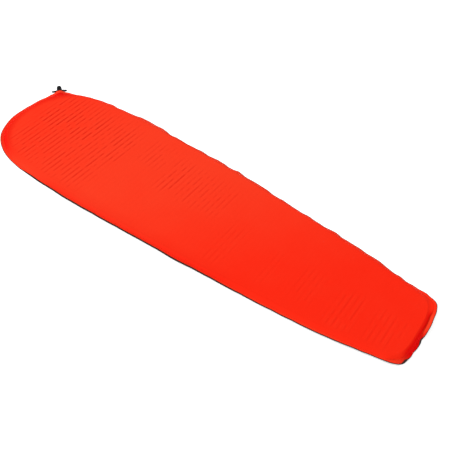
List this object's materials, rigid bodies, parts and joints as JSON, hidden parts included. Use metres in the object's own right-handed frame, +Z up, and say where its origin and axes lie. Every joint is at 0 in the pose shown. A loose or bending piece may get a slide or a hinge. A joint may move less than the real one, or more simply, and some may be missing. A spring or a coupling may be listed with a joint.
{
  "type": "sleeping pad",
  "caption": "Thin mummy-shaped self-inflating sleeping pad: a foam core between welded fabric sheets, with a winged twist valve in a head corner.",
  "frame": {"origin": "middle of the underside, on the floor", "axes": "+X along the pad from head to foot, +Y across it towards the valve's side, +Z up"},
  "size_m": [1.8286, 0.5088, 0.025],
  "materials": {
    "face_fabric": "satin",
    "base_fabric": "matte",
    "foam": "matte",
    "valve_plastic": "satin",
    "inner_plastic": "satin",
    "soft_disc": "matte",
    "seal_rubber": "matte",
    "steel": "satin"
  },
  "bodies": {
    "pad": {"bottom_sheet": "base_fabric", "foam_core": "foam", "top_sheet": "face_fabric", "valve_fitment": "valve_plastic", "check_cage": "inner_plastic", "collar_seals": "seal_rubber", "collar_clip": "steel", "mouth_plug": "valve_plastic", "plug_seal": "seal_rubber"},
    "wing_collar": {"wing_collar": "valve_plastic"},
    "lifter": {"lifter": "inner_plastic", "lifter_pins": "steel"},
    "check_disc": {"check_disc": "soft_disc"},
    "cap_seal": {"cap_seal": "seal_rubber"},
    "twist_cap": {"twist_cap": "valve_plastic"}
  },
  "joints": [
    {"name": "wing_turn", "type": "hinge", "parent": "pad", "child": "wing_collar", "pos_m": [-0.88878, 0.17752, 0.0125], "axis": [-0.7608, 0.649, 0], "range_deg": [0, 90]},
    {"name": "lifter_push", "type": "slide", "parent": "pad", "child": "lifter", "axis": [0.7608, -0.649, 0], "range_m": [0, 0.00221]},
    {"name": "check_lift", "type": "slide", "parent": "pad", "child": "check_disc", "axis": [0.7608, -0.649, 0], "range_m": [0, 0.00221]},
    {"name": "cap_lift", "type": "slide", "parent": "pad", "child": "cap_seal", "axis": [-0.7608, 0.649, 0], "range_m": [0, 0.00401]},
    {"name": "cap_twist", "type": "hinge", "parent": "cap_seal", "child": "twist_cap", "pos_m": [-0.89532, 0.1831, 0.0125], "axis": [-0.7608, 0.649, 0], "range_deg": [0, 180]}
  ],
  "couplings": [
    {"joint": "lifter_push", "follows": "wing_turn", "m_per_rad": 0.0014006},
    {"joint": "check_lift", "follows": "wing_turn", "m_per_rad": 0.0014006},
    {"joint": "cap_lift", "follows": "cap_twist", "m_per_rad": 0.0012732}
  ]
}
